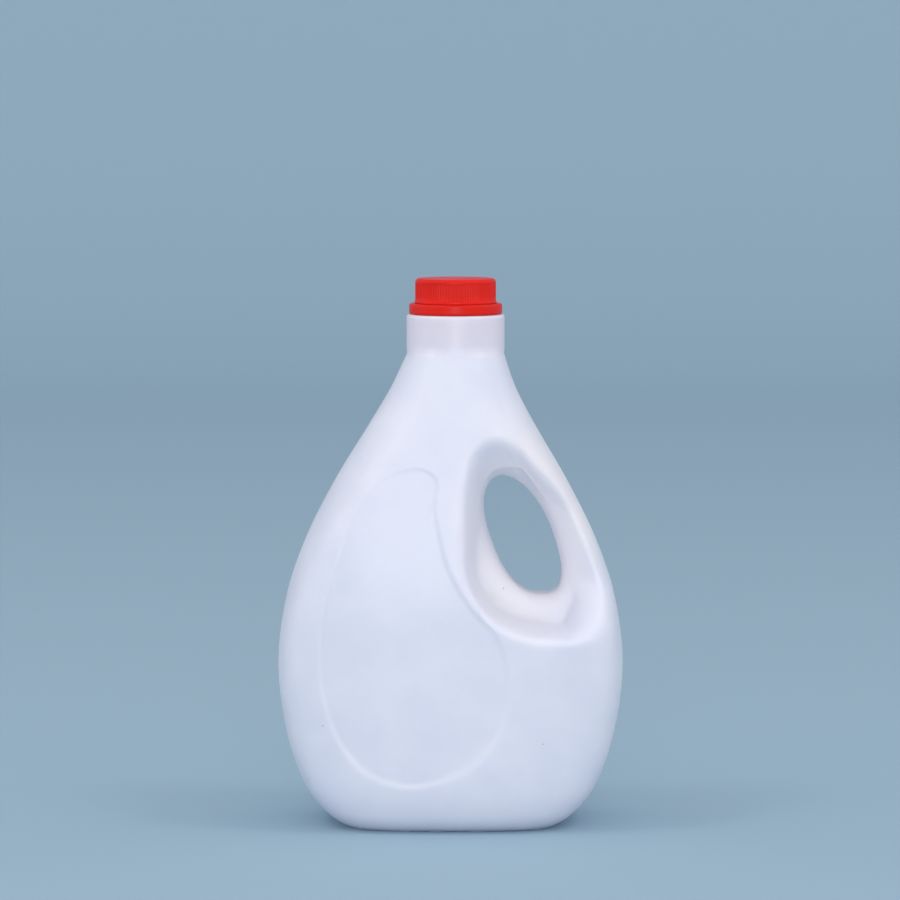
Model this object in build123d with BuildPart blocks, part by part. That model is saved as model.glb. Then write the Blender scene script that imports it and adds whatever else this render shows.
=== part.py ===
"""A three-litre plastic jerrycan with a moulded-through handle and a red screw cap.

The blow-moulded bottle is one hollow shell: a drop-shaped body, a round collar and a
neck. The cap, its liner and its tamper band are separate mouldings.
Millimetres, +Z up, the origin on the floor under the middle of the body.
"""
from math import hypot, pi, sin
import os

from build123d import *

# Body of the bottle
body_width = 180.0
body_depth = 106.0
body_height = 246.0  # from the floor to the foot of the collar
wall = 1.4
foot_width = 111.0
foot_depth = 72.0
foot_ring = 11.0  # width of the rim that stands on the floor
push_up = 5.0  # how far the middle of the base is pressed in
push_up_draft = 8.0  # how far the pressed wall leans in

# Handle, seen from the front
grip_width = 22.4  # from the opening out to the side of the bottle
grip_depth = 27.0  # front to back, beside the opening
grip_swell = 0.18  # how much deeper it is near its outer side
grip_square = 2.7
opening_width = 33.4
opening_height = 62.4
opening_centre = 150.7  # height above the floor
opening_lean = 0.33  # how far the opening leans in for each millimetre up
opening_round = 8.0  # radius of its edges
dish_side = 9.4  # how far the dish reaches past the opening, on the left
dish_above = 27.0
dish_below = 20.0
dish_tuck = 0.38  # how much the dish's border closes in over the grip

# The front and the back stand out a little in their middle
front_crown = 0.05

# Label panel on the front and the back
panel_depth = 0.8

# Collar and neck
neck_shift = 2.6  # the neck stands this far to the handle's side
collar_radius = 25.5
collar_height = 17.7
collar_round = 1.6
collar_step = 0.3  # the body's top lies this far inside it at the sides, outside in front
neck_radius = 17.6
bore_radius = 15.0
bead_radius = 20.3
bead_height = 2.0
bead_level = 2.8  # from the top of the collar to the foot of the bead

# Tamper band, cap and liner
band_radius = 24.2
band_height = 6.0
band_bevel = 0.5
band_gap = 0.3  # above the collar, and again below the cap
band_lip = 2.0  # height of the lip that hooks under the bead
lip_reach = 1.2  # how far the lip reaches in under the bead
bead_clearance = 0.5
cap_radius = 21.0
cap_height = 14.7
cap_wall = 1.9
cap_top = 1.6
cap_round = 2.0
rib_count = 96
rib_depth = 0.4
rib_margin = 2.2  # plain height left below and above the ribs
liner_thickness = 1.2
liner_clearance = 0.3

half_width = body_width / 2
half_depth = body_depth / 2
half_grip = grip_depth / 2
top_radius = collar_radius - collar_step
collar_top = body_height + collar_height
band_foot = collar_top + band_gap
cap_foot = band_foot + band_height + band_gap
liner_top = cap_foot + cap_height - cap_top
neck_top = liner_top - liner_thickness  # the liner is pressed onto the lip

# The drop shape from foot to shoulder: height, width and depth as shares of the
# body's own
LEVELS = [
    (0.000, foot_width / body_width, foot_depth / body_depth),
    (0.012, 0.672, 0.774),
    (0.037, 0.750, 0.875),
    (0.089, 0.851, 0.955),
    (0.195, 0.951, 0.993),
    (0.342, 1.000, 1.000),
    (0.488, 0.951, 0.981),
    (0.610, 0.838, 0.930),
    (0.732, 0.671, 0.842),
    (0.842, 0.492, 0.721),
    (0.927, 0.362, 0.598),
    (1.000, top_radius / half_width, (collar_radius + collar_step) / half_depth),
]
# The edge where the front turns into the side: height, its place as a share of the
# half width, how softly it turns in millimetres, and how square the side behind it
# is, where 2 is an ellipse
EDGES = [
    (0.000, 0.64, 14.0, 2.70),
    (0.100, 0.70, 24.0, 2.70),
    (0.350, 0.76, 27.0, 2.60),
    (0.500, 0.77, 18.0, 2.50),
    (0.640, 0.76, 9.0, 2.40),
    (0.735, 0.67, 6.0, 2.20),
    (0.815, 0.54, 5.0, 2.10),
    (0.894, 0.42, 4.0, 2.05),
    (1.000, 0.47, 2.5, 2.00),
]
# The label panel's outline on the front: across and up as shares of half the width
# and of the height, clockwise from its top
PANEL = [
    (-0.24, 0.750),
    (-0.10, 0.722),
    (-0.06, 0.610),
    (0.03, 0.505),
    (0.23, 0.412),
    (0.34, 0.300),
    (0.28, 0.172),
    (0.12, 0.098),
    (-0.20, 0.067),
    (-0.52, 0.103),
    (-0.70, 0.206),
    (-0.74, 0.322),
    (-0.68, 0.468),
    (-0.54, 0.618),
    (-0.40, 0.715),
]
# Heights of the level sections as shares of the body's, closer over the handle
SECTION_SHARES = [0.0, 0.012, 0.037, 0.089, 0.15, 0.21, 0.26, 0.305, 0.345]
SECTION_SHARES += [0.345 + 0.655 * step / 25 for step in range(1, 26)]
SHIFT_POWER = 8  # the shift of the neck dies away quickly below the collar
PANEL_REACH = 0.2  # the panel's cut starts this share of the depth from the middle


def between(rows, share, column):
    """A column of the rows at any height share, by a smooth curve through them."""
    row = 0
    while row < len(rows) - 2 and rows[row + 1][0] < share:
        row += 1

    def slope(at):
        low, high = rows[max(at - 1, 0)], rows[min(at + 1, len(rows) - 1)]
        return (high[column] - low[column]) / (high[0] - low[0])

    below, above = rows[row], rows[row + 1]
    span = above[0] - below[0]
    t = (share - below[0]) / span
    return (
        (2 * t**3 - 3 * t**2 + 1) * below[column]
        + (t**3 - 2 * t**2 + t) * span * slope(row)
        + (3 * t**2 - 2 * t**3) * above[column]
        + (t**3 - t**2) * span * slope(row + 1)
    )


def side_at(height):
    """Distance from the body's middle to its side at a height."""
    return half_width * between(LEVELS, height / body_height, 1)


opening_x = side_at(opening_centre) - grip_width - opening_width / 2


def rise(t):
    """0 below 0, 1 above 1 and an even S between."""
    t = min(max(t, 0.0), 1.0)
    return t * t * (3 - 2 * t)


def round_over(t, squareness):
    """1 in the middle and 0 at the end of a superellipse of that squareness."""
    return (1 - min(abs(t), 1.0) ** squareness) ** (1 / squareness)


def softer_of(first, second, reach):
    """The smaller of two depths, rounded off over the reach where they cross."""
    near = max(reach - abs(first - second), 0.0) / reach
    return min(first, second) - near**2 * reach / 4


def dished(x, height, inset):
    """How deep in the handle's dish a point of the front lies: 0 outside, 1 inside."""
    middle = opening_x - opening_lean * (height - opening_centre)
    reach = opening_width / 2 + dish_side + inset
    across = (x - middle) / reach * (1.0 if x < middle else dish_tuck)
    end = dish_above if height > opening_centre else dish_below
    up = (height - opening_centre) / (opening_height / 2 + end + inset)
    edge = 1 - dish_side / reach
    return 1 - rise((hypot(across, up) - edge) / (1 - edge))


def level_run():
    """Shares of the half width from left to right, close beside the opening."""
    dish_start, dish_end = 0.03, 0.42
    outer_steps, dish_steps = 10, 11
    left = [
        dish_start - (1 + dish_start) * sin(pi / 2 * (1 - step / outer_steps))
        for step in range(outer_steps)
    ]
    dish = [
        dish_start + (dish_end - dish_start) * step / dish_steps
        for step in range(dish_steps)
    ]
    right = [
        dish_end + (1 - dish_end) * sin(pi / 2 * step / outer_steps)
        for step in range(outer_steps + 1)
    ]
    return left + dish + right


def level_points(share, inset):
    """Points round the body at one height: its front from the left, then its back."""
    height = share * body_height
    width = side_at(height)
    depth = half_depth * between(LEVELS, share, 2)
    place, softness, squareness = (between(EDGES, share, column) for column in (1, 2, 3))
    side_depth = depth * (1 - front_crown * place**2) / round_over(place, squareness)
    centre = neck_shift * share**SHIFT_POWER
    front = []
    for across in level_run():
        flat = depth * (1 - front_crown * across**2)
        full = softer_of(flat, side_depth * round_over(across, squareness), softness)
        outward = max(1 - (1 - across) * width / grip_width, 0.0)
        grip = half_grip * (1 + grip_swell * outward) * round_over(outward, grip_square)
        full += (min(grip, full) - full) * dished(across * width, height, inset)
        # the inset wears off towards the sides, where the front turns edge-on
        full -= inset * round_over(across, squareness)
        front.append((centre + across * (width - inset), -full))
    back = [(x, -y) for x, y in front[-2:0:-1]]
    return front + back


def knots(points):
    """Where each point stands along a closed spline, from 0 to 1."""
    run = [0.0]
    for (x, y), (next_x, next_y) in zip(points, points[1:] + points[:1]):
        run.append(run[-1] + hypot(next_x - x, next_y - y) ** 0.8)
    return [at / run[-1] for at in run]


def drop(inset=0.0):
    """The body as a loft through level sections, all moved in by the inset.

    All sections share the knots of the widest, so the loft runs true between them.
    """
    shared_knots = knots(level_points(LEVELS[5][0], inset))
    with BuildPart() as body:
        for share in SECTION_SHARES:
            level = share * body_height + inset * ((1 - share) ** 4 - share**16)
            outline = [Vector(x, y) for x, y in level_points(share, inset)]
            with BuildSketch(Plane.XY.offset(level)):
                with BuildLine():
                    add(Edge.make_spline(outline, periodic=True, parameters=shared_knots))
                make_face()
        loft()
    return body.part


def opening_points(grow, count=20):
    """Points round the handle opening: a leaning egg, blunter at its foot."""
    points = []
    for step in range(count):
        angle = 2 * pi * step / count
        across, up = sin(angle), sin(angle + pi / 2)
        squareness = 2.0 if up > 0 else 2.6
        share = abs(up) ** (2 / squareness) * (1 if up > 0 else -1)
        side = abs(across) ** (2 / squareness) * (1 if across > 0 else -1)
        rise_up = (opening_height / 2 + grow) * share
        out = (opening_width / 2 + grow) * side
        points.append((opening_x + out - opening_lean * rise_up, opening_centre + rise_up))
    return points


def pierced_drop(inset=0.0):
    """The body with the handle opening through it, its edges rounded."""
    with BuildPart() as body:
        add(drop(inset))
        with BuildSketch(Plane.XZ):
            with BuildLine():
                Spline(*opening_points(inset), periodic=True)
            make_face()
        extrude(amount=half_depth, both=True, mode=Mode.SUBTRACT)
        rims = body.edges(Select.LAST).filter_by(
            lambda edge: edge.length > 2 * opening_height
            and abs(edge.bounding_box().center().Y) > half_grip / 2
        )
        fillet(rims, radius=opening_round - inset)
    return body.part


def base_press(grow=0.0):
    """What is pressed out of the base, inside the rim that stands on the floor."""
    with BuildPart() as press:
        for level, lean in ((0.0, 0.0), (push_up + grow, push_up_draft)):
            inward = foot_ring + lean - grow
            with BuildSketch(Plane.XY.offset(level)):
                Ellipse(foot_width / 2 - inward, foot_depth / 2 - inward)
        loft()
    return press.part


def panel_recess():
    """A thin layer of the front and the back, inside the panel's outline."""
    outline = [(x * half_width, z * body_height) for x, z in PANEL]
    with BuildPart() as recess:
        with BuildSketch(Plane.XZ.offset(half_depth * PANEL_REACH)):
            with BuildLine():
                Spline(*outline, periodic=True)
            make_face()
        extrude(amount=half_depth)
        mirror(about=Plane.XZ)
        add(drop(panel_depth), mode=Mode.SUBTRACT)
    return recess.part


def neck_level(height):
    """A level plane with its origin on the neck's axis."""
    return Plane(origin=(neck_shift, 0, height))


neck_section = Plane(origin=(neck_shift, 0, 0), x_dir=(1, 0, 0), z_dir=(0, -1, 0))
neck_axis = Axis((neck_shift, 0, 0), (0, 0, 1))

# Collar and neck, as solid as their outside
with BuildPart() as finish:
    with BuildSketch(neck_section):
        with BuildLine():
            foot = Line((0, body_height), (collar_radius, body_height))
            side = Line(foot @ 1, (collar_radius, collar_top - collar_round))
            Line((collar_radius - collar_round, collar_top), (neck_radius, collar_top))
            RadiusArc(side @ 1, (collar_radius - collar_round, collar_top), -collar_round)
            Polyline((neck_radius, collar_top), (neck_radius, neck_top), (0, neck_top), foot @ 0)
        make_face()
    revolve(axis=neck_axis)
    with BuildSketch(neck_level(collar_top + bead_level)):
        Circle(bead_radius)
    extrude(amount=bead_height)
    chamfer(finish.edges(Select.LAST).filter_by(GeomType.CIRCLE), length=bead_height / 4)

# The hollow: the body's form moved in by the wall, and the bore above it
with BuildPart() as hollow:
    add(pierced_drop(wall))
    add(base_press(wall), mode=Mode.SUBTRACT)
    with BuildSketch(neck_section):
        Polygon(
            (0, body_height - wall),
            (collar_radius - wall, body_height - wall),
            (collar_radius - wall, collar_top - wall),
            (bore_radius, collar_top - wall),
            (bore_radius, neck_top),
            (0, neck_top),
            align=None,
        )
    revolve(axis=neck_axis)

with BuildPart() as bottle:
    add(pierced_drop())
    add(panel_recess(), mode=Mode.SUBTRACT)
    add(base_press(), mode=Mode.SUBTRACT)
    add(finish.part)
    add(hollow.part, mode=Mode.SUBTRACT)
bottle.part.label = "bottle"

# The tamper band stays on the neck, hooked under the bead, when the cap comes off
with BuildPart() as tamper_band:
    with BuildSketch(neck_level(band_foot)):
        Circle(band_radius)
        Circle(bead_radius - lip_reach, mode=Mode.SUBTRACT)
    extrude(amount=band_height)
    outer_edges = tamper_band.edges().filter_by(GeomType.CIRCLE).group_by(SortBy.RADIUS)[-1]
    chamfer(outer_edges, length=band_bevel)
    with BuildSketch(neck_level(band_foot + band_lip)):
        Circle(bead_radius + bead_clearance)
    extrude(amount=band_height, mode=Mode.SUBTRACT)
tamper_band.part.label = "tamper_band"

# The screw cap, ribbed round its side for the fingers
with BuildPart() as cap:
    with BuildSketch(neck_level(cap_foot)):
        Circle(cap_radius)
    extrude(amount=cap_height)
    fillet(cap.edges().sort_by(Axis.Z)[-1], radius=cap_round)
    with BuildSketch(neck_level(cap_foot)):
        Circle(cap_radius - cap_wall)
    extrude(amount=cap_height - cap_top, mode=Mode.SUBTRACT)
    rib_pitch = 2 * pi * cap_radius / rib_count
    with BuildSketch(neck_level(cap_foot + rib_margin)):
        with PolarLocations(cap_radius, rib_count):
            Polygon(
                (-rib_depth, 0),
                (rib_depth, -rib_pitch / 2),
                (rib_depth, rib_pitch / 2),
                align=None,
            )
    extrude(amount=cap_height - 2 * rib_margin, mode=Mode.SUBTRACT)
cap.part.label = "cap"

# The foam liner, held in the top of the cap
with BuildPart() as cap_liner:
    with BuildSketch(neck_level(neck_top)):
        Circle(cap_radius - cap_wall - liner_clearance)
    extrude(amount=liner_thickness)
cap_liner.part.label = "cap_liner"

os.makedirs("parts", exist_ok=True)
export_step(bottle.part, "parts/bottle.step")
export_step(tamper_band.part, "parts/tamper_band.step")
export_step(cap.part, "parts/cap.step")
export_step(cap_liner.part, "parts/cap_liner.step")
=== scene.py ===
"""A three-litre jerrycan of milky plastic with a ribbed red screw cap, dressed for its portrait."""

import bpy
import numpy as np
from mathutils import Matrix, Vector


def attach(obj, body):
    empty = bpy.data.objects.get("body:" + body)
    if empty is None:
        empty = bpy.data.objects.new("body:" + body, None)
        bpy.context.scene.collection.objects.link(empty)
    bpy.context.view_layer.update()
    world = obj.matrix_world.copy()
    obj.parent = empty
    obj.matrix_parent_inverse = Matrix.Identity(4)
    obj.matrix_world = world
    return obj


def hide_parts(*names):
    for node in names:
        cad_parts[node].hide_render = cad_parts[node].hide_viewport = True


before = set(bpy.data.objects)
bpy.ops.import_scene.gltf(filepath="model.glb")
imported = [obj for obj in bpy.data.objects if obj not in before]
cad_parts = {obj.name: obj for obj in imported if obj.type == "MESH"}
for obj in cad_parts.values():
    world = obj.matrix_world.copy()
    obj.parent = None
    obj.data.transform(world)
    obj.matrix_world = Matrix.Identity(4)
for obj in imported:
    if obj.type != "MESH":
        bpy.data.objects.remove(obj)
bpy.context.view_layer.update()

# Bottle: one blow-moulded shell of milky polyethylene, 1.4 mm thick. Body, grip, collar and
# screw neck are one moulding, so they are one closed surface here: a grid of rays that runs
# from the middle of the handle opening over the front and the back to the silhouette.
body_height, half_width, half_depth = 246.0, 90.0, 53.0
wall = 1.4
neck_shift = 2.6
# share of the height, then shares of the half width and of the half depth
body_rows = np.array([
    (0.000, 0.6167, 0.6792), (0.012, 0.672, 0.774), (0.037, 0.750, 0.875), (0.089, 0.851, 0.955),
    (0.195, 0.951, 0.993), (0.342, 1.000, 1.000), (0.488, 0.951, 0.981), (0.610, 0.838, 0.930),
    (0.732, 0.671, 0.842), (0.842, 0.492, 0.721), (0.927, 0.362, 0.598), (1.000, 0.2800, 0.4868),
])
# share of the height, then where the front's edge runs as a share of the half width, how
# softly it turns in millimetres, and how square the side behind it is
edge_rows = np.array([
    (0.000, 0.64, 14.0, 2.7), (0.100, 0.70, 24.0, 2.7), (0.350, 0.76, 27.0, 2.6),
    (0.500, 0.77, 18.0, 2.5), (0.640, 0.76, 9.0, 2.4), (0.735, 0.67, 6.0, 2.2),
    (0.815, 0.54, 5.0, 2.1), (0.894, 0.42, 4.0, 2.05), (1.000, 0.47, 2.5, 2.0),
])
front_crown = 0.05
opening = np.array([36.9, 152.0])  # its middle, across and up
opening_half = np.array([16.7, 31.2])
opening_lean = 0.33
opening_round = 8.0
grip_width = 22.4
grip_inner, grip_ridge, grip_outer = 11.5, 19.5, 24.0  # half depths that make up the grip
ridge_share = 0.75  # how far over the grip's width its ridge lies, from the opening out
dish_bowl = 7.0  # how far its floor rises from the opening to the foot of its wall
dish_middle, dish_left = np.array([39.0, 150.7]), 4.6  # its left edge stands upright
dish_above, dish_below = 56.5, 52.0  # from its middle to its top and its foot
dish_passage = 60.0  # the height over which its lower form passes into its upper one
dish_lean, dish_lean_eases = 0.3, 0.13  # its lean, and by how much that is less at the top
# its wall as a share of it, and what is added to that at the top and over the grip
dish_border, border_above, border_over_grip = 0.14, 0.19, 0.65
dish_fillet = 0.006  # rounds off the foot of its wall
# the label panel's outline from the middle of the foot: shares of the half width and height
panel_line = np.array([
    (-0.20, 0.773), (-0.072, 0.748), (-0.08, 0.695), (-0.05, 0.630), (0.005, 0.558),
    (0.13, 0.485), (0.26, 0.435), (0.335, 0.372), (0.35, 0.306), (0.31, 0.226),
    (0.20, 0.164), (0.03, 0.120), (-0.23, 0.097), (-0.48, 0.124), (-0.65, 0.195),
    (-0.74, 0.290), (-0.755, 0.390), (-0.70, 0.520), (-0.58, 0.655), (-0.41, 0.744),
]) * (half_width, body_height)
panel_middle = np.array([-30.0, 100.0])
panel_sink = 0.7


def through_rows(rows, share, column):
    """A column of rows at any height: a cubic between neighbouring rows, with mean slopes."""
    at, value = rows[:, 0], rows[:, column]
    slope = np.empty_like(value)
    slope[1:-1] = (value[2:] - value[:-2]) / (at[2:] - at[:-2])
    slope[0] = (value[1] - value[0]) / (at[1] - at[0])
    slope[-1] = (value[-1] - value[-2]) / (at[-1] - at[-2])
    row = np.clip(np.searchsorted(at, share) - 1, 0, len(at) - 2)
    span = at[row + 1] - at[row]
    t = (share - at[row]) / span
    return (
        (2 * t**3 - 3 * t**2 + 1) * value[row]
        + (t**3 - 2 * t**2 + t) * span * slope[row]
        + (3 * t**2 - 2 * t**3) * value[row + 1]
        + (t**3 - t**2) * span * slope[row + 1]
    )


def eased(t):
    """0 below 0, 1 above 1 and an even S between."""
    t = np.clip(t, 0, 1)
    return t * t * (3 - 2 * t)


def softer_of(a, b, reach):
    """The smaller of a and b, rounded off over the reach where they cross."""
    near = np.maximum(reach - np.abs(a - b), 0) / reach
    return np.minimum(a, b) - near**2 * reach / 4


def body_middle(height):
    """Where the body's middle lies: it shifts towards the neck by a power of the height."""
    return neck_shift * (height / body_height) ** 8


def body_side(height):
    """Half the body's width, a cubic through its rows."""
    return half_width * through_rows(body_rows, height / body_height, 1)


def dish_at(x, height):
    """How deep in the handle's dish a point lies, how far up its wall, and how its floor rises.

    The dish is a superellipse: across and up, each to a power, add up to 1 at its edge. Its
    middle leans with the opening while its left edge stands upright. The wall falls in a
    round from the outer edge to a small fillet at the floor. Towards the top and over the
    grip, on the right, it eases in an S instead and is wider.
    """
    upward = eased((height - dish_middle[1]) / dish_passage + 0.5)
    lean = dish_lean - dish_lean_eases * upward
    middle = dish_middle[0] - lean * (height - dish_middle[1])
    across = (x - middle) / (middle - dish_left)
    up = (height - dish_middle[1]) / np.where(height > dish_middle[1], dish_above, dish_below)
    right = np.clip(across, 0, 1.3)
    # its right half runs on past the silhouette, and less far at the top
    squeeze = 0.45 + 0.45 * eased((height - 165) / 30)
    across = np.where(across > 0, squeeze * across, across)
    square = 2.2 + upward
    out = (np.abs(across) ** square + np.abs(up) ** square) ** (1 / square)
    widens = eased((right - 0.1) / 0.55) * np.abs(up) ** 0.5
    border = dish_border + border_above * upward + border_over_grip * widens
    start = (out - 1 + border) / border
    t = np.clip(0.5 * (start + np.sqrt(start**2 + dish_fillet)), 0, 1)
    over_grip = eased(1.6 * right)
    softer = 1 - (1 - over_grip) * (1 - 0.8 * upward)
    wall_share = (1 - (1 - t) ** 2.2) ** 0.65 * (1 - softer) + eased(t) * softer
    bowl = dish_bowl * (1 + 0.8 * upward) * np.clip(out / (1 - border), 0, 1) ** 4
    return 1 - wall_share, start, bowl * (1 - over_grip)


def panel_inside(x, height):
    """How far inside the label panel's outline a point lies, and its turn about the middle.

    The outline is a Catmull-Rom curve through its points. The distance is read on a ray from
    the panel's middle and shortened by the outline's slant to that ray.
    """
    ahead, behind = np.roll(panel_line, -1, 0), np.roll(panel_line, 1, 0)
    after = np.roll(panel_line, -2, 0)
    t = np.linspace(0, 1, 40, endpoint=False)[:, None, None]
    curve = 0.5 * (
        2 * panel_line + (ahead - behind) * t
        + (2 * behind - 5 * panel_line + 4 * ahead - after) * t**2
        + (3 * panel_line - behind - 3 * ahead + after) * t**3
    )
    curve = curve.transpose(1, 0, 2).reshape(-1, 2) - panel_middle
    turn, far = np.arctan2(curve[:, 1], curve[:, 0]), np.hypot(curve[:, 0], curve[:, 1])
    order = np.argsort(turn)
    turn, far = turn[order], far[order]
    slant = np.gradient(far, turn) / far
    dx, dz = x - panel_middle[0], height - panel_middle[1]
    here = np.arctan2(dz, dx)
    line = np.interp(here, turn, far, period=2 * np.pi)
    lean = np.interp(here, turn, slant, period=2 * np.pi)
    return (line - np.hypot(dx, dz)) / np.sqrt(1 + lean**2), here


def front_depth(x, height):
    """How far the front stands from the middle plane.

    A nearly flat front and a rounded side cross in a soft edge; the dish for the fingers
    sinks it to the grip's depth, and the label panel is sunk by a small step.
    """
    share = height / body_height
    side = body_side(height)
    across = np.clip(np.abs(x - body_middle(height)) / side, 0, 1)
    depth = half_depth * through_rows(body_rows, share, 2)
    edge, soft, square = (through_rows(edge_rows, share, column) for column in (1, 2, 3))
    front = depth * (1 - front_crown * across**2)
    behind = (1 - across**square) ** (1 / square) / (1 - edge**square) ** (1 / square)
    full = softer_of(front, depth * (1 - front_crown * edge**2) * behind, soft)
    full = np.maximum(full, 0)
    outward = np.clip(1 - (1 - (x - body_middle(height)) / side) * side / grip_width, 0, 1)
    slope = grip_inner + (grip_ridge - grip_inner) * outward / ridge_share
    grip = np.maximum(softer_of(slope, grip_outer * (1 - outward**3) ** 0.5, 2.5), 0)
    dished, _, bowl = dish_at(x, height)
    full = full + (np.minimum(grip + bowl, full) - full) * dished
    inside, turn = panel_inside(x, height)
    # the panel's step is 1.8 mm wide, and wider on its right and at its foot
    step = 1.8 + 2.0 * np.clip(np.cos(turn + 0.35), 0, 1) ** 2 + 1.6 * np.clip(-np.sin(turn), 0, 1)
    return full - panel_sink * eased(inside / step) * np.minimum(full / 20, 1)


def opening_reach(turn):
    """Distance from the opening's middle to its edge: a leaning egg, blunter at its foot."""
    power = np.where(np.sin(turn) > 0, 2.0, 2.6)
    out = np.abs(np.cos(turn) + opening_lean * np.sin(turn)) / opening_half[0]
    up = np.abs(np.sin(turn)) / opening_half[1]
    return (out**power + up**power) ** (-1 / power)


# rays end on the silhouette's right side, the collar's ring, the left side and the foot's ring
right_steps, top_steps, left_steps, bottom_steps = 74, 46, 140, 72
columns = 84
# fine points on a ray through the opening, round its edge and over the front, and the shares
# of its length at which their density is read
tube_rows, bend_rows, rest_rows, share_rows = 13, 60, 1600, 800
heights = body_height * (0.5 - 0.5 * np.cos(np.linspace(0, np.pi, 3000)))
outline_run = np.concatenate([
    [0], np.cumsum(np.hypot(np.diff(body_side(heights)), np.diff(heights)))
])
right_z = np.interp(np.linspace(0, outline_run[-1], right_steps + 1), outline_run, heights)
left_z = np.interp(np.linspace(outline_run[-1], 0, left_steps + 1), outline_run, heights)
top_turn = np.linspace(0, np.pi, top_steps + 1)
top_half, foot_half = float(body_side(np.array(body_height))), float(body_side(np.array(0.0)))
foot_turn = np.linspace(np.pi, 2 * np.pi, bottom_steps + 1)
foot_x = foot_half * np.sign(np.cos(foot_turn)) * np.abs(np.cos(foot_turn)) ** 0.8
rim = np.concatenate([
    np.stack([body_middle(right_z) + body_side(right_z), right_z], 1)[:-1],
    np.stack([neck_shift + top_half * np.cos(top_turn), 0 * top_turn + body_height], 1)[:-1],
    np.stack([body_middle(left_z) - body_side(left_z), left_z], 1)[:-1],
    np.stack([foot_x, np.zeros(bottom_steps + 1)], 1)[:-1],
])
rays = len(rim)
at_top = np.arange(right_steps, right_steps + top_steps + 1)
at_foot = np.arange(rays - bottom_steps, rays + 1) % rays
open_end = np.zeros(rays, bool)
open_end[at_top[1:-1]] = open_end[at_foot[1:-1]] = True

toward = rim - opening
ray_turn = np.arctan2(toward[:, 1], toward[:, 0])
ray_end = np.hypot(toward[:, 0], toward[:, 1])
ray_start = opening_reach(ray_turn)
tilt = (opening_reach(ray_turn + 1e-4) - opening_reach(ray_turn - 1e-4)) / 2e-4 / ray_start
squint = np.sqrt(1 + tilt**2)  # a ray that leaves the edge at a slant needs a longer rounding


def ray_points(distance, sink):
    """Points on every ray at a distance from the opening's middle, sunk below the surface."""
    x = opening[0] + distance * np.cos(ray_turn)[:, None]
    z = opening[1] + distance * np.sin(ray_turn)[:, None]
    return np.stack([x, -(front_depth(x, np.clip(z, 0, body_height)) - sink), z], 2)


bend = np.linspace(0, np.pi / 2, bend_rows)[None, :]
rounding = ray_points(
    ray_start[:, None] + opening_round * squint[:, None] * (1 - np.cos(bend)),
    opening_round * (1 - np.sin(bend)),
)
tube = rounding[:, :1] * np.linspace(0, 1, tube_rows + 1)[None, :-1, None] ** (0, 1, 0)
crowding = np.where(open_end, 1.6, 3.0)[:, None]  # more where the ray ends on the silhouette
first, last = (ray_start + opening_round * squint)[:, None], ray_end[:, None]
ahead = 1 - np.linspace(0, 1, rest_rows)[None, 1:]
rest = ray_points(last - (last - first) * ahead**crowding, 0.0)
rest[~open_end, -1, 1] = 0
fine = np.concatenate([tube, rounding, rest], 1)
stretch = np.linalg.norm(np.diff(fine, axis=1), axis=2)
run = np.concatenate([np.zeros((rays, 1)), np.cumsum(stretch, 1)], 1)
total = run[:, -1:]
run = run / total
number = 2.0 * np.arange(rays)[:, None]  # keeps the rays apart in one long interpolation


def along_rays(wanted, known, values):
    """Values read off at wanted shares of every ray, where they are known at others."""
    read = np.interp((wanted + number).ravel(), (known + number).ravel(), values.ravel())
    return read.reshape(rays, -1)


# points lie closer on the opening's rounding, the dish's wall and the panel's step, evened
# out over the neighbouring rays so that the grid runs on smoothly
between = (fine[:, 1:] + fine[:, :-1]) / 2
panel_gap, _ = panel_inside(between[..., 0], between[..., 2])
_, dish_t, _ = dish_at(between[..., 0], between[..., 2])
by_panel = np.exp(-((panel_gap - 1.2) / 3) ** 2)
by_dish = np.exp(-((dish_t - 0.1) / 0.2) ** 2)
density = 1 + 1.8 * by_panel + 1.5 * by_dish
density[:, : tube_rows + bend_rows - 1] = 1.8
reach = np.arange(-24, 25)
weight = np.exp(-((reach / 9) ** 2))
weight /= weight.sum()


def evened(values):
    """A soft mean over each ray's neighbours."""
    return sum(np.roll(values, k, 0) * w for k, w in zip(reach, weight))


def steadied(shares):
    """Shares of an evened length as shares of the ray's own, which differ towards its end."""
    return (evened(total) * shares + (total - evened(total)) * shares**4) / total


shares = np.broadcast_to(np.linspace(0, 1, share_rows)[None, :], (rays, share_rows))
density = evened(along_rays(steadied(shares), (run[:, 1:] + run[:, :-1]) / 2, density))
filled = np.cumsum(density, 1) - density[:, :1]
place = along_rays(np.linspace(0, 1, columns + 1)[None, :], filled / filled[:, -1:], shares)
place = steadied(place)
front = np.stack([along_rays(place, run, fine[..., axis]) for axis in range(3)], 2)
front[:, -1] = fine[:, -1]
front[:, 0] = fine[:, 0]

# the inner wall follows the outer one, a wall's thickness in along its normals
mirror = np.array([1.0, -1.0, 1.0])
before = np.concatenate([front[:, 1:2] * mirror, front[:, :-1]], 1)
after = np.concatenate([front[:, 1:], front[:, -2:-1] * mirror], 1)
after[open_end, -1] = front[open_end, -1]
normal = np.cross(np.roll(front, -1, 0) - np.roll(front, 1, 0), after - before)
normal /= np.maximum(np.linalg.norm(normal, axis=2, keepdims=True), 1e-9)
normal *= -np.sign(normal[..., 1].sum())
inner = (front - wall * normal)[:, ::3].copy()
inner[~open_end, -1, 1] = 0
inner[:, 0, 1] = 0

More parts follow.
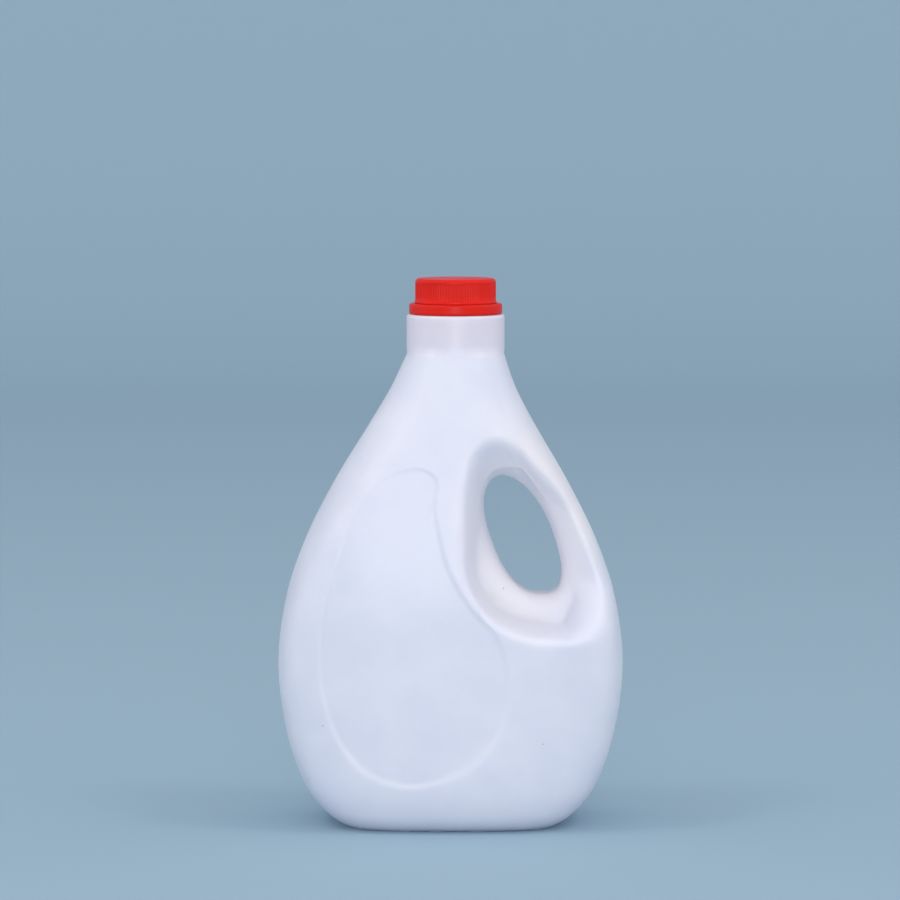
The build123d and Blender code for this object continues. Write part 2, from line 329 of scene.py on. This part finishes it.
foot_deep = 36.0  # the foot's half depth
press_across, press_deep = 44.5, 25.0  # half sizes of the pressed-up base at its foot
press_draft, press_height, press_crown = 8.0, 5.0, 0.9  # its wall's lean and rise, its crown
foot_ring = np.concatenate([front[at_foot, -1], front[at_foot[-2:0:-1], -1] * mirror])
top_ring = np.concatenate([front[at_top, -1], front[at_top[-2:0:-1], -1] * mirror])
foot_shrink, top_shrink = (1 - wall / foot_half, 1 - wall / foot_deep, 1), 1 - wall / top_half
inner[at_foot, -1] = front[at_foot, -1] * foot_shrink + (0, 0, wall)
inner_top = (front[at_top, -1] - (neck_shift, 0, 0)) * (top_shrink, top_shrink, 1)
inner[at_top, -1] = inner_top + (neck_shift, 0, 0)
inner_foot = np.concatenate([inner[at_foot, -1], inner[at_foot[-2:0:-1], -1] * mirror])
inner_ring = np.concatenate([inner[at_top, -1], inner[at_top[-2:0:-1], -1] * mirror])


def base_rings(ring, level, grow):
    """Rings from the foot's outline in to the middle of the base, which is pressed up.

    The foot's rim runs straight to an ellipse, whose wall leans in and rises in an S to a
    shallow crown. The inner surface lies higher, round an ellipse that is grown as much.
    """
    turn = np.arctan2(ring[:, 1] / foot_deep, ring[:, 0] / foot_half)

    def ellipse(lean):
        """The press's outline at the floor's level, drawn in by its wall's lean."""
        return np.stack([
            (press_across + grow - lean) * np.cos(turn),
            (press_deep + grow - lean) * np.sin(turn), 0 * turn,
        ], 1)

    rows = [ring]
    for share in (0.15, 0.5, 0.85, 1.0):
        rows.append(ring * (1 - share) + (ellipse(0) + (0, 0, level)) * share)
    for share in np.linspace(0.1, 1, 9):
        rows.append(ellipse(press_draft * share) + (0, 0, level + press_height * eased(share)))
    last = rows[-1]
    for share in (0.85, 0.6, 0.35, 0.15, 0.0):
        rows.append(last * (share, share, 1) + (0, 0, press_crown * (1 - share**2)))
    return np.stack(rows, 1)


ring_turn = np.concatenate([-top_turn, np.pi - top_turn[1:-1]])
collar_bend = np.linspace(0, np.pi / 2, 7)
bead_bend = np.linspace(-np.pi / 2, np.pi / 2, 9)
lip_bend = np.linspace(0, np.pi, 9)
neck_radius, thread_start, thread_pitch, thread_turns = 17.6, 273.0, 4.2, 1.6
thread_z = np.arange(272.4, 281.2, 0.36)
# the neck's profile, up its outside and down its bore: collar, ledge, bead, thread, lip
neck_line = np.concatenate([
    [(25.5, 248.5), (25.5, 251), (25.5, 254), (25.5, 259), (25.5, 263)],
    np.stack([23.9 + 1.6 * np.cos(collar_bend), 264.8 + 1.6 * np.sin(collar_bend)], 1),
    [(20.5, 266.4), (18.2, 266.4), (17.75, 266.55), (17.6, 267.0), (17.6, 268.0), (17.9, 268.6)],
    np.stack([19.5 + 0.8 * np.cos(bead_bend), 269.7 + 0.9 * np.sin(bead_bend)], 1),
    [(18.1, 270.8), (17.7, 271.2), (17.6, 271.8)],
    np.stack([0 * thread_z + neck_radius, thread_z], 1),
    np.stack([16.3 + 1.3 * np.cos(lip_bend), 281.5 + 0.7 * np.sin(lip_bend)], 1),
    [(15, 278), (15, 273), (15, 269), (15, 265.7), (15.2, 265.15), (15.8, 265), (23.6, 265)],
    [(24.1, 264.5), (24.1, 255), (24.1, 247)],
])
turn_grid, radius_grid = np.meshgrid(ring_turn, neck_line[:, 0], indexing="ij")
level_grid = np.broadcast_to(neck_line[:, 1], turn_grid.shape)
# the thread is one ridge that climbs a pitch a turn and fades at both its ends
round_share = (turn_grid % (2 * np.pi)) / (2 * np.pi)
climb = (level_grid - thread_start) / thread_pitch - round_share
on_thread = (np.abs(neck_line[:, 0] - neck_radius) < 0.01) & (neck_line[:, 1] > 272.3)
turns_up = np.round(climb)
ends = np.clip((turns_up + round_share) / 0.08, 0, 1)
ends = ends * np.clip((thread_turns - turns_up - round_share) / 0.08, 0, 1)
ridge = eased(1.6 - np.abs(climb - turns_up) * thread_pitch / 0.75) * ends * on_thread
neck = np.stack([
    neck_shift + (radius_grid + ridge) * np.cos(turn_grid),
    (radius_grid + ridge) * np.sin(turn_grid),
    level_grid,
], 2)
neck = np.concatenate([top_ring[:, None], neck, inner_ring[:, None]], 1)


def grid_quads(start, across, along, closed):
    """Corner numbers of a grid's quads, row after row, joined round if it is closed."""
    number = start + np.arange(across * along).reshape(across, along)
    number = np.concatenate([number, number[:1]]) if closed else number
    return np.stack(
        [number[:-1, :-1], number[1:, :-1], number[1:, 1:], number[:-1, 1:]], 2
    ).reshape(-1, 4)


def closed_shell(name, grids):
    """One mesh of all the grids, welded where their edges meet, with its faces outwards."""
    points, quads = [], []
    for grid in grids:
        quads.append(grid_quads(sum(map(len, points)), grid.shape[0], grid.shape[1], True))
        points.append(grid.reshape(-1, 3))
    points, quads = np.concatenate(points), np.concatenate(quads)
    _, kept, number = np.unique(
        np.round(points, 4), axis=0, return_index=True, return_inverse=True
    )
    quads = number.reshape(-1)[quads]
    # a quad with two corners in one place becomes a triangle, and one with more goes
    flat = np.stack([quads[:, k] == quads[:, (k + 1) % 4] for k in range(4)], 1)
    whole = quads[~flat.any(1)]
    thin = quads[flat.sum(1) == 1]
    drop = flat[flat.sum(1) == 1].argmax(1)
    order = (drop[:, None] + np.array([1, 2, 3])) % 4
    faces = whole.tolist() + np.take_along_axis(thin, order, 1).tolist()
    mesh = bpy.data.meshes.new(name)
    mesh.from_pydata((points[kept] * 0.001).tolist(), [], faces)
    mesh.polygons.foreach_set("use_smooth", [True] * len(mesh.polygons))
    piece = bpy.data.objects.new(name, mesh)
    bpy.context.scene.collection.objects.link(piece)
    bpy.context.view_layer.objects.active = piece
    piece.select_set(True)
    bpy.ops.object.mode_set(mode="EDIT")
    bpy.ops.mesh.select_all(action="SELECT")
    bpy.ops.mesh.normals_make_consistent(inside=False)
    bpy.ops.object.mode_set(mode="OBJECT")
    piece.select_set(False)
    return piece


bottle = closed_shell("milky_bottle", [
    front, front * mirror, inner, inner * mirror, neck,
    base_rings(foot_ring, 0.0, 0.0), base_rings(inner_foot, wall, wall),
])


def new_plastic(name):
    """An empty material with its Principled shader, returned with its node tree."""
    material = bpy.data.materials.new(name)
    material.use_nodes = True
    return material, material.node_tree, material.node_tree.nodes["Principled BSDF"]


def node_of(tree, kind, inputs, **settings):
    """A shader node of that kind, its inputs set by name, or linked where a socket is given."""
    node = tree.nodes.new(kind)
    for name, value in settings.items():
        setattr(node, name, value)
    for name, value in inputs.items():
        if isinstance(value, bpy.types.NodeSocket):
            tree.links.new(value, node.inputs[name])
        else:
            node.inputs[name].default_value = value
    return node


def band_of(tree, value, low, high, to_low=0.0, to_high=1.0):
    """A value carried in an S from low and high to two new ends, and held beyond them."""
    inputs = {0: value, 1: low, 2: high, 3: to_low, 4: to_high}
    return node_of(tree, "ShaderNodeMapRange", inputs, interpolation_type="SMOOTHSTEP").outputs[0]


def tinted(tree, mask, under, over):
    """One colour over another by a mask."""
    node = tree.nodes.new("ShaderNodeMix")
    node.data_type = "RGBA"
    tree.links.new(mask, node.inputs[0])
    for socket, colour in ((node.inputs[6], under), (node.inputs[7], over)):
        if isinstance(colour, bpy.types.NodeSocket):
            tree.links.new(colour, socket)
        else:
            socket.default_value = (*colour, 1)
    return node.outputs[2]


def at_most(tree, mask, most):
    """A mask weakened so that it never covers more than a share."""
    return band_of(tree, mask, 0.0, 1.0, 0.0, most)


def bumped(tree, height, distance, strength, under=None):
    """A bump of a height, over another normal where one is given."""
    inputs = {"Height": height, "Distance": distance, "Strength": strength}
    if under:
        inputs["Normal"] = under
    return node_of(tree, "ShaderNodeBump", inputs).outputs[0]


# what every moulded plastic skin has: cloudy haze, slow waves, fine grain, hair scuffs, specks
moulded_skin = bpy.data.node_groups.new("moulded_skin", "ShaderNodeTree")
for name, kind in (("Vector", "Vector"), ("Haze Scale", "Float"), ("Grain Scale", "Float")):
    moulded_skin.interface.new_socket(name, in_out="INPUT", socket_type="NodeSocket" + kind)
for name in ("Haze", "Waves", "Grain", "Scuffs", "Specks"):
    moulded_skin.interface.new_socket(name, in_out="OUTPUT", socket_type="NodeSocketFloat")
given = moulded_skin.nodes.new("NodeGroupInput").outputs
result = moulded_skin.nodes.new("NodeGroupOutput").inputs


def cloud(scale, detail, distortion=0.0):
    """A soft noise of the skin."""
    inputs = {"Vector": given[0], "Scale": scale, "Detail": detail, "Distortion": distortion}
    return node_of(moulded_skin, "ShaderNodeTexNoise", inputs).outputs[0]


haze, waves, grain = cloud(given[1], 4.0), cloud(28.0, 1.0), cloud(given[2], 3.0)
hairs = cloud(22.0, 2.0, 1.4)
off = node_of(moulded_skin, "ShaderNodeMath", {0: hairs, 1: 0.5}, operation="SUBTRACT")
off = node_of(moulded_skin, "ShaderNodeMath", {0: off.outputs[0]}, operation="ABSOLUTE")
some = band_of(moulded_skin, haze, 0.55, 0.68)
thin = band_of(moulded_skin, off.outputs[0], 0.0, 0.006, 1.0, 0.0)
scuffs = node_of(moulded_skin, "ShaderNodeMath", {0: thin, 1: some}, operation="MULTIPLY")
cells = node_of(moulded_skin, "ShaderNodeTexVoronoi", {"Vector": given[0], "Scale": 60.0})
specks = band_of(moulded_skin, cells.outputs["Distance"], 0.022, 0.04, 1.0, 0.0)
for socket, value in zip(result, (haze, waves, grain, scuffs.outputs[0], specks)):
    moulded_skin.links.new(value, socket)


def skin_on(tree, haze_scale, grain_scale):
    """The moulded skin's masks in a material, and the piece's own coordinates."""
    place = tree.nodes.new("ShaderNodeTexCoord").outputs["Object"]
    skin = tree.nodes.new("ShaderNodeGroup")
    skin.node_tree = moulded_skin
    tree.links.new(place, skin.inputs["Vector"])
    skin.inputs["Haze Scale"].default_value = haze_scale
    skin.inputs["Grain Scale"].default_value = grain_scale
    return place, skin.outputs


# milky, a little warmer and darker at the collar, with painted light that pales and warms the dish
# round the handle's opening as if lit through, and the mould's parting line on the middle plane
milky, tree, shader = new_plastic("milky_polyethylene")
place, skin = skin_on(tree, 45.0, 1400.0)
apart = node_of(tree, "ShaderNodeSeparateXYZ", {0: place})
height = apart.outputs["Z"]
beside = node_of(tree, "ShaderNodeMath", {0: apart.outputs["Y"]}, operation="ABSOLUTE").outputs[0]
seam = band_of(tree, beside, 0.0002, 0.0006, 1.0, 0.0)
thick = band_of(tree, height, 0.242, 0.254)  # collar and neck, where the wall is thickest
low = band_of(tree, height, 0.0, 0.03, 1.0, 0.0)
cloudy = band_of(tree, skin["Haze"], 0.3, 0.7)
colour = tinted(tree, cloudy, (0.71, 0.73, 0.865), (0.745, 0.758, 0.885))
colour = tinted(tree, thick, colour, (0.73, 0.685, 0.785))
from_hole = node_of(tree, "ShaderNodeVectorMath", {0: place, 1: (0.040, 0.0, 0.158)},
                    operation="SUBTRACT").outputs[0]
from_hole = node_of(tree, "ShaderNodeVectorMath", {0: from_hole, 1: (1.0, 0.0, 0.72)},
                    operation="MULTIPLY").outputs[0]
from_hole = node_of(tree, "ShaderNodeVectorMath", {0: from_hole}, operation="LENGTH")
# painted light: the dish round the handle's opening is tinted paler and warmer, as if light shone
# through its wall
painted_glow_round_opening = band_of(tree, from_hole.outputs["Value"], 0.024, 0.047, 0.75, 0.0)
colour = tinted(tree, painted_glow_round_opening, colour, (0.86, 0.815, 0.865))  # as if lit through
colour = tinted(tree, at_most(tree, low, 0.35), colour, (0.70, 0.70, 0.77))
colour = tinted(tree, at_most(tree, seam, 0.4), colour, (0.80, 0.82, 0.90))
colour = tinted(tree, at_most(tree, skin["Scuffs"], 0.25), colour, (0.82, 0.84, 0.90))
colour = tinted(tree, at_most(tree, skin["Specks"], 0.5), colour, (0.36, 0.34, 0.38))
tree.links.new(colour, shader.inputs["Base Color"])
tree.links.new(band_of(tree, skin["Haze"], 0.25, 0.75, 0.36, 0.46), shader.inputs["Roughness"])
normal = bumped(tree, skin["Waves"], 0.0008, 0.35)
normal = bumped(tree, skin["Grain"], 0.00004, 0.35, normal)
tree.links.new(bumped(tree, seam, 0.00012, 0.6, normal), shader.inputs["Normal"])
shader.inputs["Subsurface Weight"].default_value = 0.5
shader.inputs["Subsurface Radius"].default_value = (1.0, 0.9, 0.95)
shader.inputs["Subsurface Scale"].default_value = 0.003
bottle.data.materials.append(milky)
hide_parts("bottle")
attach(bottle, "bottle_body")

# Tamper band: the wider red ring that stays on the neck, injection moulded in the cap's
# plastic, with a lip inside that hooks under the neck's bead.
band_line = np.array([
    (19.1, 266.6), (21.5, 266.6), (23.7, 266.6), (24.05, 266.72), (24.2, 267.05), (24.2, 268.0),
    (24.2, 269.5), (24.2, 271.0), (24.1, 271.4), (23.85, 271.75), (23.4, 272.0), (22.4, 272.0),
    (21.0, 272.0), (20.8, 271.8), (20.8, 270.0), (20.8, 268.4), (19.6, 268.0), (19.1, 267.3),
])
band_turn = np.linspace(0, 2 * np.pi, 160, endpoint=False)[:, None]


def turned_shell(name, turn, line, cut=0.0):
    """A profile joined to its start and carried round the neck's axis, less a cut into it."""
    radius, level = line[:, 0] - cut + 0 * turn, line[:, 1] + 0 * turn
    points = np.stack([neck_shift + radius * np.cos(turn), radius * np.sin(turn), level], 2)
    return closed_shell(name, [np.concatenate([points, points[:, :1]], 1)])


band = turned_shell("red_band", band_turn, band_line)
red, tree, shader = new_plastic("red_polypropylene")
_, skin = skin_on(tree, 60.0, 1800.0)
cloudy = band_of(tree, skin["Haze"], 0.3, 0.7)
colour = tinted(tree, cloudy, (0.68, 0.011, 0.005), (0.73, 0.014, 0.008))
colour = tinted(tree, at_most(tree, skin["Scuffs"], 0.3), colour, (0.76, 0.07, 0.05))
tree.links.new(colour, shader.inputs["Base Color"])
tree.links.new(band_of(tree, skin["Haze"], 0.25, 0.75, 0.3, 0.4), shader.inputs["Roughness"])
shader.inputs["Specular IOR Level"].default_value = 0.15
normal = bumped(tree, skin["Waves"], 0.0004, 0.3)
tree.links.new(bumped(tree, skin["Grain"], 0.00004, 0.5, normal), shader.inputs["Normal"])
band.data.materials.append(red)
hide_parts("tamper_band")
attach(band, "bottle_body")

# Cap: a red injection-moulded screw cap with fine upright ribs for the fingers and a rounded
# top edge. Its bore is plain: the thread inside it isn't modelled.
ribs, rib_depth = 96, 0.25
rib_foot, rib_top, rib_fade = 273.6, 283.0, 0.8
cap_turn = np.linspace(0, 2 * np.pi, ribs * 8, endpoint=False)[:, None]
cap_bend = np.linspace(0, np.pi / 2, 9)
cap_line = np.concatenate([
    [(19.1, 272.1), (21.1, 272.1), (21.3, 272.15), (21.35, 272.4), (21.35, 273.1), (21.1, 273.7)],
    [(21.0, 274.4), (21.0, 276), (21.0, 278.5), (21.0, 281.6), (21.0, 282.2), (21.0, 282.7)],
    np.stack([19.0 + 2.0 * np.cos(cap_bend), 283.0 + 2.0 * np.sin(cap_bend)], 1),
    [(18.2, 285.0), (17.0, 285.0), (10.0, 285.0), (4.0, 285.0), (0.0, 285.0)],
    [(0.0, 283.4), (10.0, 283.4), (18.6, 283.4), (19.1, 282.9), (19.1, 279), (19.1, 275)],
])
groove = rib_depth * (0.5 + 0.5 * np.cos(ribs * cap_turn)) ** 0.8
cap_z, on_side = cap_line[:, 1], cap_line[:, 0] > 20.5
ribbed = eased((cap_z - rib_foot) / rib_fade) * eased((rib_top - cap_z) / rib_fade) * on_side
cap = turned_shell("red_cap", cap_turn, cap_line, groove * ribbed)
cap.data.materials.append(red)
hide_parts("cap")
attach(cap, "cap_body")

# Liner: the thin disc of closed-cell foam that is pressed into the top of the cap and seals on
# the neck's lip. It shows only from below, with the cap off.
liner_line = np.array([
    (0.0, 282.2), (12.0, 282.2), (18.4, 282.2), (18.7, 282.3), (18.8, 282.5), (18.8, 283.1),
    (18.7, 283.3), (18.4, 283.38), (12.0, 283.38), (0.0, 283.38),
])
liner = turned_shell("foam_liner", band_turn, liner_line)
foam, tree, shader = new_plastic("white_foam")
place, skin = skin_on(tree, 80.0, 900.0)
bubbles = node_of(tree, "ShaderNodeTexVoronoi", {"Vector": place, "Scale": 1600.0})
bubbles = bubbles.outputs["Distance"]
colour = tinted(tree, band_of(tree, bubbles, 0.2, 0.7), (0.80, 0.80, 0.76), (0.88, 0.88, 0.86))
tree.links.new(colour, shader.inputs["Base Color"])
tree.links.new(band_of(tree, skin["Haze"], 0.25, 0.75, 0.62, 0.78), shader.inputs["Roughness"])
tree.links.new(bumped(tree, bubbles, 0.0002, 0.7), shader.inputs["Normal"])
liner.data.materials.append(foam)
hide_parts("cap_liner")
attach(liner, "liner_body")

# Floor and backdrop: one pale sheet of paper, flat under the can and swept up behind it in a
# quarter round, so that no corner shows.
sweep = np.linspace(0, np.pi / 2, 24)
sheet_line = np.concatenate([
    [(-6.0, 0.0), (0.0, 0.0), (2.0, 0.0)],
    np.stack([3.0 + 1.5 * np.sin(sweep), 1.5 - 1.5 * np.cos(sweep)], 1),
    [(4.5, 6.0)],
])
sheet_x = np.linspace(-8, 8, 9)
sheet_points = np.concatenate([
    np.repeat(sheet_x, len(sheet_line))[:, None], np.tile(sheet_line, (len(sheet_x), 1))
], 1)
sheet_mesh = bpy.data.meshes.new("pale_sheet")
sheet_mesh.from_pydata(
    sheet_points.tolist(), [], grid_quads(0, len(sheet_x), len(sheet_line), False).tolist()
)
sheet_mesh.polygons.foreach_set("use_smooth", [True] * len(sheet_mesh.polygons))
sheet = bpy.data.objects.new("pale_sheet", sheet_mesh)
bpy.context.scene.collection.objects.link(sheet)
paper, tree, shader = new_plastic("pale_paper")
shader.inputs["Base Color"].default_value = (0.315, 0.455, 0.565, 1)
shader.inputs["Roughness"].default_value = 0.9
sheet.data.materials.append(paper)

# Light: a pale room, brighter round its walls than above, with a small soft box high on each
# side for the cap's highlights and a larger one low in front.


def soft_box(name, place, aim, size, power):
    """A square area lamp that faces its aim."""
    lamp = bpy.data.lights.new(name, "AREA")
    lamp.shape, lamp.size, lamp.energy = "SQUARE", size, power
    box = bpy.data.objects.new(name, lamp)
    box.location = place
    box.rotation_euler = (Vector(aim) - Vector(place)).to_track_quat("-Z", "Y").to_euler()
    bpy.context.scene.collection.objects.link(box)


soft_box("box_above_left", (-1.05, -0.5, 1.9), (0, 0, 0.15), 0.4, 4)
soft_box("box_above_right", (1.05, -0.5, 1.9), (0, 0, 0.15), 0.4, 4)
soft_box("box_front", (0.0, -2.7, 0.45), (0, 0, 0.12), 0.8, 14)
world = bpy.data.worlds.new("pale_room")
world.use_nodes = True
room = world.node_tree
aloft = room.nodes.new("ShaderNodeTexCoord").outputs["Generated"]
aloft = node_of(room, "ShaderNodeSeparateXYZ", {0: aloft}).outputs["Z"]
room.nodes["Background"].inputs["Color"].default_value = (1.0, 0.98, 0.98, 1)
strength = band_of(room, aloft, 0.0, 1.0, 1.25, 0.75)
room.links.new(strength, room.nodes["Background"].inputs["Strength"])
bpy.context.scene.world = world
bpy.context.scene.view_settings.view_transform = "Standard"

# Camera: a long lens 2.2 m away, a little higher than the cap and looking down by about five
# degrees, which is how the photograph looks to have been taken.
lens = bpy.data.cameras.new("portrait")
lens.sensor_width, lens.lens = 36, 169.3
lens.clip_start, lens.clip_end = 0.1, 50
portrait = bpy.data.objects.new("portrait", lens)
portrait.location = (-0.0003, -2.2, 0.385)
aim = Vector((-0.0003, 0.0, 0.1953)) - portrait.location
portrait.rotation_euler = aim.to_track_quat("-Z", "Y").to_euler()
bpy.context.scene.collection.objects.link(portrait)
bpy.context.scene.camera = portrait
